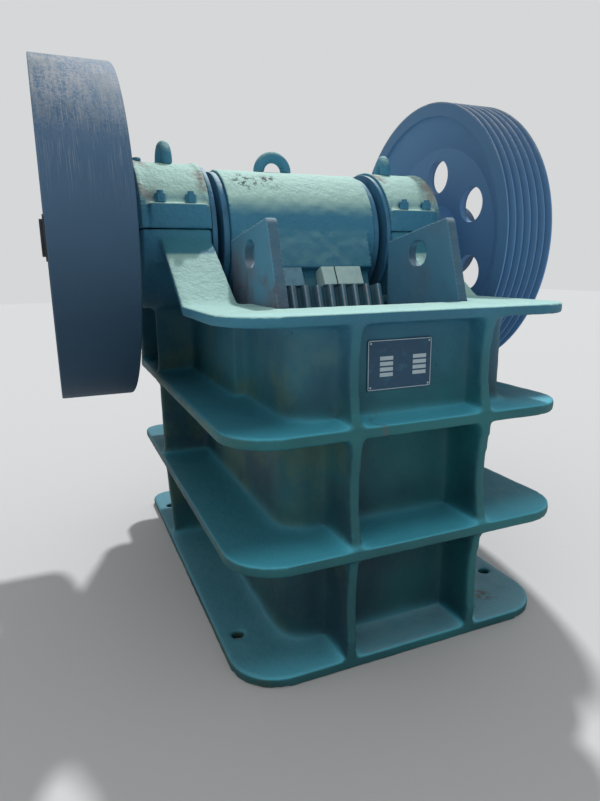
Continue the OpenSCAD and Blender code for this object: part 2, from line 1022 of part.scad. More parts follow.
frame_front_wall();
frame_left_side();
frame_right_side();
frame_rear_wall();
left_bearing_cap();
right_bearing_cap();
left_cap_bolts();
right_cap_bolts();
left_cap_lifting_loop();
right_cap_lifting_loop();
left_main_bearing();
right_main_bearing();
left_inner_seal_cover();
right_inner_seal_cover();
left_outer_seal_cover();
right_outer_seal_cover();
left_upper_cheek_plate();
right_upper_cheek_plate();
left_lower_cheek_plate();
right_lower_cheek_plate();
fixed_jaw_plate();
fixed_jaw_clamp();
toggle_plate();
toggle_block();
adjusting_shims();
tension_rod();
tension_spring();
tension_rod_washers();
tension_rod_nuts();
swing_jaw();
swing_jaw_plate();
swing_jaw_wedges();
head_lifting_loop();
left_head_ring();
right_head_ring();
eccentric_shaft();
flywheel();
sheave();
shaft_end_plates();
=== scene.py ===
"""Looks of a single-toggle jaw crusher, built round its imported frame."""

import json
import math

import bpy
import numpy as np
from bpy.props import FloatProperty, FloatVectorProperty, IntProperty, PointerProperty
from mathutils import Matrix, Vector, noise


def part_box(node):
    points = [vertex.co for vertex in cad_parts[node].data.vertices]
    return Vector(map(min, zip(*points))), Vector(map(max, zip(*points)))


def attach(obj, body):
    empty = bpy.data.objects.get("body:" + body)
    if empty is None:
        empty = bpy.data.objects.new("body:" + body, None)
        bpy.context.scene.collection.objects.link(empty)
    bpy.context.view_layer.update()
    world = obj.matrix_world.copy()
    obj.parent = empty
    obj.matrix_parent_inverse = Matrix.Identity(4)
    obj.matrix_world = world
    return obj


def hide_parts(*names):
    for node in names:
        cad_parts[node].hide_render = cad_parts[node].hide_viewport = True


bl_info = {
    "name": "Jaw crusher",
    "version": (1, 0, 0),
    "blender": (4, 5, 0),
    "location": "3D View > Sidebar > Crusher",
    "description": "Dresses the packed frame of a jaw crusher and lights it",
    "category": "Object",
}

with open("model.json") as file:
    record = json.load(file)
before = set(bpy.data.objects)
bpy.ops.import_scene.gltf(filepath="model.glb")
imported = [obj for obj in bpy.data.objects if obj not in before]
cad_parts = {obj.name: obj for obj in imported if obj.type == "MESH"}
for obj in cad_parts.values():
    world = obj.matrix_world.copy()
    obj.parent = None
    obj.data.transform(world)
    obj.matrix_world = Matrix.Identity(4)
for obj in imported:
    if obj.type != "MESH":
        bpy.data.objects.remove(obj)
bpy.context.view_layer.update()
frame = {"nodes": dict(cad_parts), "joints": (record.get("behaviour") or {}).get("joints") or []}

# Data plate: its span along X and Z, and how far its wall lies behind the front of the flanges
PLATE_SPAN = (-0.103, 0.048, 0.590, 0.693)
PLATE_SETBACK = 0.071

# Where the strong light comes from
SUN_FROM = Vector((0.30, 0.49, 0.81))
LAMP_AIM = Vector((0, 0, 0.8))

CASTING_NODES = ["frame_front_wall", "frame_left_side", "frame_right_side", "frame_rear_wall"]
CAP_NODES = ["left_bearing_cap", "right_bearing_cap"]
LOOP_NODES = ["left_cap_lifting_loop", "right_cap_lifting_loop", "head_lifting_loop"]
BOLT_NODES = ["left_cap_bolts", "right_cap_bolts"]
COVER_NODES = [
    "left_inner_seal_cover",
    "right_inner_seal_cover",
    "left_outer_seal_cover",
    "right_outer_seal_cover",
]
RING_NODES = ["left_head_ring", "right_head_ring"]
CHEEK_NODES = [
    "left_upper_cheek_plate",
    "right_upper_cheek_plate",
    "left_lower_cheek_plate",
    "right_lower_cheek_plate",
]
BARE_NODES = [
    "left_main_bearing",
    "right_main_bearing",
    "adjusting_shims",
    "tension_rod_washers",
    "tension_rod_nuts",
]
DARK_NODES = [
    "eccentric_shaft",
    "shaft_end_plates",
    "toggle_plate",
    "tension_rod",
    "tension_spring",
]
GREEN_NODES = ["toggle_block", "fixed_jaw_clamp"]

# Middle of the shaft, which turns about X
SHAFT = Vector(frame["joints"][0]["pos_m"])

# Plane of the swing jaw's tooth tips at rest: its normal, and its distance from the origin
SWING_TIPS = ((0.0, -0.9455, 0.3256), 0.3436)
TOOTH_PITCH = 0.037

# Height above which the caps' shadow is painted on the slopes
SHADE_HEIGHT = 0.867

# Places with their reach: rust on the base, and chipped paint on the head
BASE_RUST = [((0.262, -0.496, 0.024), 0.032)]
HEAD_SCARS = [((-0.150, 0.062, 1.062), 0.055), ((-0.085, 0.060, 1.066), 0.05)]

# Where the slit between the right wedges runs, darkened with a painted shade line
WEDGE_SLIT_X = 0.0595


def srgb(red, green, blue):
    """A colour as picked on screen, 0 to 255, as the linear colour that a shader takes."""
    return tuple(
        c / 12.92 if c <= 0.04045 else ((c + 0.055) / 1.055) ** 2.4
        for c in (v / 255 for v in (red, green, blue))
    ) + (1.0,)


# Settings


def colour(name, description, value):
    return FloatVectorProperty(
        name=name,
        description=description,
        subtype="COLOR",
        size=4,
        min=0.0,
        max=1.0,
        default=value,
    )


def length(name, description, value):
    return FloatProperty(name=name, description=description, unit="LENGTH", default=value, min=0.0)


class CrusherPaint(bpy.types.PropertyGroup):
    """Colours of the crusher's finishes"""

    green_deep: colour("Deep green", "Green paint in its darkest patches", srgb(4, 60, 74))
    green: colour("Green", "Green paint, clean", srgb(18, 96, 104))
    # High green carries painted skylight: the upper parts are lighter and bluer
    green_high_skylit: colour("High green", "Green paint on the upper parts", srgb(70, 144, 178))
    # Edge green is painted light: the fronts of ribs and flanges are lighter than the set-back panels
    green_edge_lit: colour("Edge green", "Fronts of ribs and flanges", srgb(40, 116, 118))
    # Shelf and sky green are painted light on faces that look up: painted skylight near the walls, and a
    # brighter painted sky reflection near the outer edge
    green_shelf_skylit: colour("Shelf green", "Flange tops near the walls", srgb(54, 128, 146))
    green_sky_reflection: colour("Sky green", "Flange tops near their outer edge", srgb(80, 184, 208))
    # Faded green is partly bleached paint, and partly painted sunlight and painted highlight
    green_faded_and_lit: colour("Faded green", "Green paint bleached by sun and dust", srgb(184, 226, 216))
    # Grime is dark dirt, and also painted shade in corners, recesses and low down
    grime_and_shade: colour("Grime", "Dark dirt in corners and near the ground", srgb(8, 40, 50))
    # Dust is partly real dust and partly painted sunlight on the base's tops
    dust: colour("Dust", "Pale dust on the base", srgb(112, 158, 174))
    primer: colour("Primer", "Pinkish primer at chipped edges", srgb(150, 136, 132))
    stain: colour("Stain", "Olive stains in the paint", srgb(66, 98, 80))
    rust: colour("Rust", "Rust in chips and runs", srgb(96, 72, 58))
    flywheel: colour("Flywheel", "Blue-black paint of the flywheel", srgb(42, 70, 92))
    # The sheave's colour is lightened with painted skylight for its inner side; its outer faces are given
    # the dark flywheel paint
    sheave: colour("Sheave", "Blue-black paint of the sheave", srgb(96, 146, 194))
    # Pale wheel is a painted sky reflection on the wheels' upper parts
    wheel_sky_reflection: colour("Pale wheel", "Thin dust on the wheels' upper parts", srgb(98, 134, 170))
    # Scuffed wheel is the rubbed streaks of the rims, and also a painted highlight on tops and edges of
    # the cheek plates and on tooth tips
    scuffs_and_highlight: colour("Scuffed wheel", "Rubbed streaks of the rims", srgb(184, 188, 192))
    cover: colour("Covers", "Blue-black paint of rings and covers", srgb(60, 122, 156))
    cheek: colour("Cheek plates", "Dull skin of the cheek plates", srgb(86, 144, 172))
    cheek_warm: colour("Warm cheek plates", "Brown patches of the cheek plates", srgb(112, 116, 128))
    teeth: colour("Teeth", "Dark manganese steel", srgb(92, 140, 160))
    teeth_worn: colour("Worn teeth", "Tooth edges rubbed pale", srgb(150, 176, 182))
    steel: colour("Bare steel", "Turned steel", srgb(140, 146, 150))
    dark_steel: colour("Dark steel", "Dull steel with mill scale", srgb(58, 68, 76))
    # Wedge paint is pale, partly painted sunlight
    wedge: colour("Wedges", "Pale paint of the wedges", srgb(202, 232, 226))
    plate: colour("Data plate", "Dark ground of the data plate", srgb(30, 70, 96))
    plate_line: colour("Plate lines", "Border and fields of the data plate", srgb(168, 186, 194))


class CrusherCasting(bpy.types.PropertyGroup):
    """How the castings' skins are made"""

    voxel: length("Grid", "Grid size of the frame's cast skin", 0.0055)
    fine: length("Fine grid", "Grid size of the smaller skins", 0.0035)
    fillet_rounds: IntProperty(
        name="Fillet rounds", description="Rounds that fill the inner corners", default=44, min=0
    )
    faces: IntProperty(
        name="Triangles", description="Most triangles of the frame's skin", default=190000, min=1000
    )
    ripple: length("Ripple", "Height of the sand mould's unevenness", 0.0012)
    edge: length("Edge", "Width of the rounded edges on machined pieces", 0.0025)


class CrusherStage(bpy.types.PropertyGroup):
    """Camera and light"""

    eye: FloatVectorProperty(
        name="Camera",
        description="Place of the camera",
        subtype="TRANSLATION",
        size=3,
        default=(-0.6666, -1.538, 0.8387),
    )
    turn: FloatProperty(name="Turn", description="Camera's heading to the right of +Y", default=22.8)
    tilt: FloatProperty(name="Tilt", description="Camera's tilt, down is negative", default=-13.1)
    roll: FloatProperty(name="Roll", description="Camera's roll", default=-0.6)
    focal: FloatProperty(name="Focal length", description="In pixels of a picture 600 wide", default=583.6)
    key: FloatProperty(name="Key light", description="Strength of the high lamp", default=2.3)
    key_spread: FloatProperty(name="Key spread", description="Its softness in degrees", default=3.0)
    fill: FloatProperty(name="Fill light", description="Power of the lamp beside the camera", default=14.0)
    sky: FloatProperty(name="Sky", description="Strength of the even light all round", default=0.52)


# Shader maths


class Signal:
    """A value that varies over a surface. Arithmetic on it adds Math nodes."""

    def __init__(self, finish, socket):
        self.finish = finish
        self.socket = socket

    def math(self, operation, *values):
        return self.finish.math(operation, *values)

    def __add__(self, other):
        return self.math("ADD", self, other)

    def __sub__(self, other):
        return self.math("SUBTRACT", self, other)

    def __rsub__(self, other):
        return self.math("SUBTRACT", other, self)

    def __mul__(self, other):
        return self.math("MULTIPLY", self, other)

    def __truediv__(self, other):
        return self.math("DIVIDE", self, other)

    def __pow__(self, other):
        return self.math("POWER", self, other)

    __radd__ = __add__
    __rmul__ = __mul__

    def step(self, low, high):
        """0 below low, 1 above high, smooth between them."""
        return self.finish.node(
            "ShaderNodeMapRange",
            {"interpolation_type": "SMOOTHSTEP"},
            {"Value": self, "From Min": low, "From Max": high},
        )


class Finish:
    """A material in the making: a Principled shader and the nodes that feed it."""

    def __init__(self, name, metallic=0.0, specular=0.5):
        self.material = bpy.data.materials.new(name)
        self.material.use_nodes = True
        self.tree = self.material.node_tree
        self.shader = self.tree.nodes["Principled BSDF"]
        self.shader.inputs["Metallic"].default_value = metallic
        self.shader.inputs["Specular IOR Level"].default_value = specular
        self.place = self.node("ShaderNodeTexCoord", output="Object")

    def node(self, kind, settings=None, inputs=(), output=0):
        node = self.tree.nodes.new(kind)
        for key, value in (settings or {}).items():
            setattr(node, key, value)
        pairs = inputs.items() if isinstance(inputs, dict) else enumerate(inputs)
        for key, value in pairs:
            self.feed(node.inputs[key], value)
        return Signal(self, node.outputs[output])

    def feed(self, socket, value):
        if isinstance(value, Signal):
            self.tree.links.new(value.socket, socket)
        else:
            socket.default_value = value

    def math(self, operation, *values):
        return self.node("ShaderNodeMath", {"operation": operation}, values)

    def noise(self, scale, detail=4.0, rough=0.55, place=None, warp=0.0):
        return self.node(
            "ShaderNodeTexNoise",
            None,
            {
                "Vector": place or self.place,
                "Scale": scale,
                "Detail": detail,
                "Roughness": rough,
                "Distortion": warp,
            },
        )

    def mix(self, factor, first, second):
        """A colour between two colours."""
        return self.node(
            "ShaderNodeMix", {"data_type": "RGBA"}, {0: factor, 6: first, 7: second}, output=2
        )

    def vector(self, operation, *values, output=0):
        return self.node("ShaderNodeVectorMath", {"operation": operation}, values, output)

    def along(self, direction):
        """Distance from the origin along a direction."""
        return self.vector("DOT_PRODUCT", self.place, direction, output="Value")

    def facing(self, direction):
        """How far the surface faces a direction, -1 to 1."""
        normal = self.node("ShaderNodeNewGeometry", output="Normal")
        return self.vector("DOT_PRODUCT", normal, direction, output="Value")

    def height(self):
        """Height above the floor."""
        return self.along((0.0, 0.0, 1.0))

    def marked(self, name):
        """A value that the mesh code left at each vertex."""
        return self.node("ShaderNodeAttribute", {"attribute_name": name}, output="Fac")

    def near(self, place, reach):
        """1 at a place, falling to 0 at this distance from it."""
        return 1.0 - self.vector("DISTANCE", self.place, place, output="Value").step(reach * 0.3, reach)

    def from_shaft(self):
        """Distance from the shaft's axis, and how far up the place lies round it, -1 to 1."""
        y = self.along((0.0, 1.0, 0.0)) - SHAFT.y
        z = self.along((0.0, 0.0, 1.0)) - SHAFT.z
        radius = (y * y + z * z) ** 0.5
        return radius, z / radius

    def stretched(self, x, y, z):
        """The place with its three directions scaled, for streaks."""
        return self.vector("MULTIPLY", self.place, (x, y, z))

    def bump(self, *heights):
        """Heights in metres, added up."""
        total = heights[0]
        for height in heights[1:]:
            total = total + height
        return self.node("ShaderNodeBump", None, {"Strength": 1.0, "Distance": 1.0, "Height": total})

    def close(self, colour, roughness, normal=None):
        self.feed(self.shader.inputs["Base Color"], colour)
        self.feed(self.shader.inputs["Roughness"], roughness)
        if normal is not None:
            self.feed(self.shader.inputs["Normal"], normal)
        return self.material


def cast_paint(
    name, paint, bleached=1.0, primer=0.0, skinned=True, scars=(), rusted=(), shadow_above=None
):
    """Green paint on a rough sand-cast skin, pale on top and darker near the ground.

    bleached is how pale the faces that look up are, 1 for the usual: partly sun-bleached paint,
    partly painted sunlight. The darkening near the ground is painted shade. primer adds pinkish
    chips near the ends of the caps. A skinned piece has the marks that Net.mark_wear left on it:
    paler edges, partly worn paint and partly a painted highlight, and inner corners darkened with
    painted shade. scars and rusted are places, each with its reach, where the paint has come off
    in chips or rust has come through. Above the height that the last argument gives, the pale
    tops are left off: a painted shadow of the caps on the slopes.
    """
    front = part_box("frame_front_wall")[0][1]
    f = Finish(name, specular=0.42)
    patches = f.noise(19.0, 6.0, 0.6)
    grain = f.noise(190.0, 5.0, 0.65)
    lumps = f.noise(48.0, 5.0, 0.62)
    pits = f.noise(105.0, 4.0, 0.6)
    up = f.facing((0.0, 0.0, 1.0))
    height = f.height()
    tone = f.mix(f.noise(3.2, 5.0).step(0.36, 0.64), tuple(paint.green_deep), tuple(paint.green))
    low = 1.0 - height.step(0.68, 0.76)
    left = 1.0 - f.along((1.0, 0.0, 0.0)).step(-0.2, -0.1)
    set_back = f.along((0.0, 1.0, 0.0)).step(front + 0.02, front + 0.05)
    stained = f.noise(7.0, 6.0, 0.62).step(0.42, 0.66) * low * set_back * (0.05 + 0.65 * left)
    tone = f.mix(stained, tone, tuple(paint.stain))
    # Painted skylight: the upper parts are lighter and bluer
    tone = f.mix(height.step(0.5, 0.95) * 0.8, tone, tuple(paint.green_high_skylit))
    # Painted skylight on faces that look up, with a brighter painted sky reflection towards the outer edge
    outer = f.along((0.0, -1.0, 0.0)).step(0.48, 0.6)
    tops = f.mix(outer, tuple(paint.green_shelf_skylit), tuple(paint.green_sky_reflection))
    tone = f.mix(up.step(0.1, 0.9), tone, tops)
    # Painted shade: faces low down that don't look up are darkened, set-back panels most
    shaded = (1.0 - height.step(0.1, 0.6)) * (1.0 - up.step(0.0, 0.4)) * (0.1 + 0.3 * set_back)
    tone = f.mix(shaded, tone, tuple(paint.grime_and_shade))
    # Painted light: the fronts of ribs and flanges low down are lighter than the set-back panels
    ahead = f.facing((0.0, -1.0, 0.0)).step(0.6, 0.95) * (1.0 - set_back) * low
    tone = f.mix(ahead * 0.4, tone, tuple(paint.green_edge_lit))
    # Base tops paler, more towards the right: partly dust, partly painted sunlight
    dusty = up.step(0.6, 0.95) * (1.0 - height.step(0.03, 0.06)) * (0.6 + 0.4 * patches.step(0.3, 0.6))
    tone = f.mix(dusty * (0.8 - 0.55 * left), tone, tuple(paint.dust))
    # Faces that look up, high on the frame, turn pale: partly sun-bleached paint, partly painted sunlight
    bleach_and_sun = up.step(0.27, 0.6) * height.step(0.735, 0.752) * (0.66 + 0.6 * patches) * bleached
    # Painted shadow of the caps on the slopes: the pale tops are left off above a line that lies higher
    # towards the middle
    if shadow_above:
        off_middle = f.math("ABSOLUTE", f.along((1.0, 0.0, 0.0)))
        line = (1.0 - off_middle.step(0.245, 0.285)) * 0.045 + shadow_above
        bleach_and_sun = bleach_and_sun * (1.0 - (height - line).step(-0.004, 0.004))
    tone = f.mix(bleach_and_sun, tone, tuple(paint.green_faded_and_lit))
    if skinned:
        # Convex edges paler in patches: partly worn paint, partly a painted highlight
        worn = f.marked("worn").step(0.05, 0.22)
        tone = f.mix(worn * patches.step(0.35, 0.6) * 0.3, tone, tuple(paint.green_faded_and_lit))
        rim = worn * (1.0 - f.along((1.0, 0.0, 0.0)).step(-0.38, -0.34)) * patches.step(0.3, 0.5)
        tone = f.mix(rim * 0.6, tone, tuple(paint.primer))
        # Painted shade darkens the inner corners
        tone = f.mix(f.marked("hollow").step(0.03, 0.2) * 0.35, tone, tuple(paint.grime_and_shade))
    if primer:
        off_middle = f.math("ABSOLUTE", f.math("ABSOLUTE", f.along((1.0, 0.0, 0.0))) - 0.35)
        ends = off_middle.step(0.035, 0.07) * up.step(0.1, 0.6)
        flakes = f.noise(14.0, 8.0, 0.66).step(0.46, 0.6)
        tone = f.mix(flakes * ends * primer, tone, tuple(paint.primer))
    runs = f.noise(5.0, 6.0, 0.6, f.stretched(3.0, 3.0, 0.6), 1.5)
    tone = f.mix(runs.step(0.64, 0.76) * low * 0.3, tone, tuple(paint.rust))
    chips = f.noise(75.0, 5.0, 0.7).step(0.7, 0.74)
    for place, reach in scars:
        chips = chips + f.near(place, reach) * f.noise(60.0, 7.0, 0.7).step(0.53, 0.55)
    tone = f.mix(chips, tone, tuple(paint.grime_and_shade))
    for place, reach in rusted:
        spot = f.near(place, reach) * f.noise(70.0, 6.0, 0.7).step(0.46, 0.54)
        tone = f.mix(spot * 0.8, tone, tuple(paint.rust))
    rough = 0.5 + 0.26 * patches + 0.1 * bleach_and_sun
    coarse = (lumps * 0.005 + pits * 0.0028) * (0.3 + 0.7 * height.step(0.7, 0.76))
    return f.close(tone, rough, f.bump(coarse, grain * 0.001, chips * -0.0008))


def wheel_paint(name, paint, base, crest, edge_x=None):
    """Blue-black paint on turned iron, scuffed round the rim, paler above with a painted sky
    reflection.

    crest is the radius of the rim's outer face. edge_x is the place along the shaft of an
    edge that is drawn bright: partly rubbed, partly a painted highlight.
    """
    f = Finish(name, specular=0.3)
    radius, top = f.from_shaft()
    streaks = f.noise(2.6, 7.0, 0.66, f.stretched(34.0, 5.0, 5.0))
    scratches = f.noise(2.0, 5.0, 0.6, f.stretched(330.0, 5.0, 5.0))
    broad = f.noise(3.0, 5.0)
    # Painted sky reflection: the wheels are paler towards the top
    sky_reflection = top.step(-0.6, 1.0) * radius.step(0.0, 0.3) * (0.4 + 0.6 * broad)
    tone = f.mix(sky_reflection, tuple(base), tuple(paint.wheel_sky_reflection))
    beside = f.math("ABSOLUTE", f.facing((1.0, 0.0, 0.0))).step(0.9, 0.98)
    tone = f.mix(radius.step(crest - 0.054, crest - 0.05) * beside * 0.3, tone, tuple(paint.flywheel))
    # The sheave's outer faces get the dark paint, without the painted skylight of its inner side
    beyond = f.along((1.0, 0.0, 0.0)).step(0.565, 0.59)
    outboard = beyond * (1.0 - radius.step(crest - 0.045, crest - 0.035))
    outboard = f.math("MAXIMUM", outboard, f.facing((1.0, 0.0, 0.0)).step(0.5, 0.95))
    tone = f.mix(outboard * 0.85, tone, tuple(paint.flywheel))
    worn = radius.step(crest - 0.006, crest - 0.001)
    specks = f.noise(165.0, 5.0, 0.72)
    dusty = worn * top.step(0.35, 0.85) * (streaks * 0.45 + specks * 0.65).step(0.455, 0.62)
    tone = f.mix(dusty * 0.85, tone, tuple(paint.scuffs_and_highlight))
    scored = worn * top.step(0.0, 0.7) * scratches.step(0.57, 0.64) * broad.step(0.35, 0.6)
    tone = f.mix(scored * 0.6, tone, tuple(paint.scuffs_and_highlight))
    olive = worn * top.step(0.2, 0.8) * f.noise(9.0, 6.0, 0.6).step(0.45, 0.65)
    tone = f.mix(olive * specks.step(0.42, 0.58) * 0.4, tone, tuple(paint.stain))
    # A bright line along the rim's edge: partly rubbed, partly a painted highlight
    if edge_x is not None:
        off_edge = f.math("ABSOLUTE", f.along((1.0, 0.0, 0.0)) - edge_x)
        line = worn * (1.0 - off_edge.step(0.001, 0.0035))
        tone = f.mix(line * streaks.step(0.3, 0.5) * 0.8, tone, tuple(paint.scuffs_and_highlight))
    tone = f.mix(f.noise(60.0, 5.0, 0.7).step(0.68, 0.74) * 0.5, tone, tuple(paint.grime_and_shade))
    rough = 0.6 + 0.2 * streaks + 0.15 * dusty
    height = f.bump(scratches * 0.0004, f.noise(300.0, 3.0) * 0.0002)
    return f.close(tone, rough, height)


def cover_paint(name, paint):
    """Dark paint on plates and rings that are turned round the shaft."""
    f = Finish(name, specular=0.45)
    wear = f.noise(14.0, 6.0, 0.6)
    tone = f.mix(wear.step(0.4, 0.7) * 0.5, tuple(paint.cover), tuple(paint.flywheel))
    dusty = f.facing((0.0, 0.0, 1.0)).step(0.5, 0.95) * wear.step(0.35, 0.6)
    tone = f.mix(dusty * 0.5, tone, tuple(paint.green_faded_and_lit))
    tone = f.mix(f.noise(45.0, 5.0, 0.7).step(0.63, 0.7) * 0.5, tone, tuple(paint.grime_and_shade))
    return f.close(tone, 0.45 + 0.3 * wear, f.bump(f.noise(190.0, 4.0) * 0.0005))


def plate_skin(name, paint):
    """Dull cast skin of the cheek plates, with warm patches, painted shade on the faces towards
    the front, painted light on the faces that look up, and edges paler, partly rubbed and
    partly a painted highlight.
    """
    f = Finish(name, specular=0.35)
    broad = f.noise(5.0, 5.0)
    patches = f.noise(24.0, 6.0, 0.62)
    left = 1.0 - f.along((1.0, 0.0, 0.0)).step(-0.1, 0.1)
    brown = broad.step(0.4, 0.6) * (0.25 + 0.5 * left)
    tone = f.mix(brown, tuple(paint.cheek), tuple(paint.cheek_warm))
    low = 1.0 - f.height().step(0.78, 0.9)
    tone = f.mix(patches.step(0.5, 0.7) * low * (0.15 + 0.35 * left), tone, tuple(paint.rust))
    # Painted shade: the faces towards the front are darkened
    tone = f.mix(f.facing((0.0, -1.0, 0.0)).step(0.6, 0.95) * 0.65, tone, tuple(paint.flywheel))
    # Painted light: the faces that look up are paler
    tone = f.mix(f.facing((0.0, 0.0, 1.0)).step(0.2, 0.7) * 0.3, tone, tuple(paint.scuffs_and_highlight))
    # Edges paler: partly rubbed, partly a painted highlight
    tone = f.mix(f.marked("worn").step(0.14, 0.3) * 0.3, tone, tuple(paint.scuffs_and_highlight))
    height = f.bump(patches * 0.0016, f.noise(240.0, 4.0, 0.6) * 0.001)
    return f.close(tone, 0.6 + 0.25 * patches, height)


def tooth_steel(name, paint, tips=None):
    """Cast manganese steel, rubbed pale along its edges, with painted shade between the teeth and
    in the corners, and a painted highlight along the tips.

    tips is the plane of the teeth's tips, as its normal and its distance from the origin.
    """
    f = Finish(name, metallic=0.25, specular=0.45)
    patches = f.noise(30.0, 6.0, 0.65)
    rusty = patches.step(0.45, 0.75) * (0.3 + 0.5 * (1.0 - f.along((1.0, 0.0, 0.0)).step(-0.1, 0.0)))
    tone = f.mix(rusty, tuple(paint.teeth), tuple(paint.rust))
    rub = f.marked("worn").step(0.1, 0.3) * (0.3 + 0.7 * f.noise(55.0, 5.0).step(0.35, 0.6))
    tone = f.mix(rub, tone, tuple(paint.teeth_worn))
    if tips:
        # Painted shade: darker with depth below the tips
        depth = tips[1] - f.along(tips[0])
        tone = f.mix(depth.step(0.002, 0.013) * 0.55, tone, tuple(paint.grime_and_shade))
        # Painted highlight: a thin bright line along each tooth's tip
        beside = f.math("PINGPONG", f.along((1.0, 0.0, 0.0)) + 0.0045, TOOTH_PITCH / 2)
        ridge_highlight = (1.0 - beside.step(0.0004, 0.0022)) * (1.0 - depth.step(0.003, 0.006))
        tone = f.mix(ridge_highlight * (0.5 + patches.step(0.35, 0.55)), tone, tuple(paint.scuffs_and_highlight))
    # Painted shade darkens the inner corners
    tone = f.mix(f.marked("hollow").step(0.02, 0.14) * 0.85, tone, tuple(paint.grime_and_shade))
    rough = 0.72 - 0.25 * rub
    return f.close(tone, rough, f.bump(patches * 0.0014, f.noise(260.0, 4.0) * 0.0006))


def wedge_paint(name, paint, slit_x):
    """Pale paint of the wedges, partly painted sunlight, rusty on the left one. slit_x is where
    the right one is slit; a painted shade line darkens the slit.
    """
    f = Finish(name, specular=0.4)
    patches = f.noise(34.0, 6.0, 0.65)
    x = f.along((1.0, 0.0, 0.0))
    tone = f.mix(patches.step(0.4, 0.75) * 0.2, tuple(paint.wedge), tuple(paint.green_high_skylit))
    left = 1.0 - x.step(-0.04, -0.02)
    tone = f.mix(left * 0.85, tone, tuple(paint.cheek))
    edge = left * f.marked("worn").step(0.02, 0.2)
    rusty = left * patches.step(0.46, 0.66) * 0.35 + edge * 0.6
    tone = f.mix(rusty, tone, tuple(paint.rust))
    # Painted shade in the slit between the wedges
    slit = 1.0 - f.math("ABSOLUTE", x - slit_x).step(0.001, 0.0028)
    tone = f.mix(slit, tone, tuple(paint.grime_and_shade))
    return f.close(tone, 0.6 + 0.2 * patches, f.bump(patches * 0.002))


def steel(name, paint, base, metallic, rough, rusty=0.6):
    """Plain steel with stains."""
    f = Finish(name, metallic=metallic)
    stains = f.noise(22.0, 6.0, 0.6)
    tone = f.mix(stains.step(0.42, 0.7) * rusty, tuple(base), tuple(paint.rust))
    return f.close(tone, rough + 0.25 * stains, f.bump(f.noise(200.0, 4.0) * 0.0003))


def plate_paint(name, paint, base):
    """Printed metal of the data plate, a little faded."""
    f = Finish(name, metallic=0.2)
    wear = f.noise(60.0, 5.0)
    tone = f.mix(wear.step(0.5, 0.75) * 0.2, tuple(base), tuple(paint.cheek))
    return f.close(tone, 0.4 + 0.3 * wear, f.bump(wear * 0.0002))


# Meshes


def baked(source, name):
    """A new mesh object with the source's modifiers applied."""
    depsgraph = bpy.context.evaluated_depsgraph_get()
    mesh = bpy.data.meshes.new_from_object(source.evaluated_get(depsgraph))
    mesh.name = name
    made = bpy.data.objects.new(name, mesh)
    bpy.context.scene.collection.objects.link(made)
    return made


def discard(thing):
    bpy.data.objects.remove(thing, do_unlink=True)


def new_object(name, verts, faces):
    mesh = bpy.data.meshes.new(name)
    mesh.from_pydata(verts, [], faces)
    made = bpy.data.objects.new(name, mesh)
    bpy.context.scene.collection.objects.link(made)
    return made


def joined_copy(nodes, name):
    """One object with copies of some CAD nodes' meshes."""
    verts, faces = [], []
    for node in nodes:
        mesh = frame["nodes"][node].data
        start = len(verts)
        verts += [tuple(v.co) for v in mesh.vertices]
        faces += [tuple(start + i for i in p.vertices) for p in mesh.polygons]
    return new_object(name, verts, faces)


class Net:
    """A mesh's vertices as an array, and what joins them."""

    def __init__(self, mesh):
        self.mesh = mesh
        self.places = np.empty(len(mesh.vertices) * 3)
        mesh.vertices.foreach_get("co", self.places)
        self.places = self.places.reshape(-1, 3)
        ends = np.empty(len(mesh.edges) * 2, dtype=np.int32)
        mesh.edges.foreach_get("vertices", ends)
        self.first, self.second = ends.reshape(-1, 2).T
        self.count = np.bincount(ends, minlength=len(self.places)).clip(1)

    def average(self, values):
        """The mean of the neighbours' values at each vertex."""
        total = np.bincount(self.first, values[self.second], len(values))
        total += np.bincount(self.second, values[self.first], len(values))
        return total / self.count

    def pull(self):
        """From each vertex to the middle of its neighbours."""
        return np.stack([self.average(column) for column in self.places.T], axis=1) - self.places

    def normals(self):
        self.write()
        normals = np.empty(len(self.places) * 3)
        self.mesh.vertex_normals.foreach_get("vector", normals)
        return normals.reshape(-1, 3)

    def write(self):
        self.mesh.vertices.foreach_set("co", self.places.ravel())
        self.mesh.update()

    def soften(self, rounds):
        """Rounds every edge a little."""
        for _ in range(rounds):
            self.places = self.places + 0.5 * self.pull()

    def fill_corners(self, rounds):
        """Moves vertices only where that fills an inner corner, which makes fillets."""
        for turn in range(rounds):
            if turn % 6 == 0:
                normals = self.normals()
            rise = (self.pull() * normals).sum(1, keepdims=True).clip(0)
            self.places = self.places + 0.6 * normals * rise

    def ripple(self, height, scale):
        """Pushes the vertices in by a soft noise, as sand moulds do."""
        depth = np.array([noise.noise(Vector(p) * scale) for p in self.places])
        self.places = self.places - self.normals() * (depth * 0.5 + 0.5)[:, None] * height

    def mark_wear(self):
        """Leaves on each vertex how far it stands out as an edge, and how far it lies in a corner."""
        lengths = np.linalg.norm(self.places[self.first] - self.places[self.second], axis=1)
        bend = (self.pull() * self.normals()).sum(1) / lengths.mean()
        for name, sign in (("worn", -1.0), ("hollow", 1.0)):
            values = (sign * bend).clip(0)
            values = 0.5 * values + 0.5 * self.average(values)
            mark = self.mesh.attributes.new(name, "FLOAT", "POINT")
            mark.data.foreach_set("value", values.astype(np.float32))


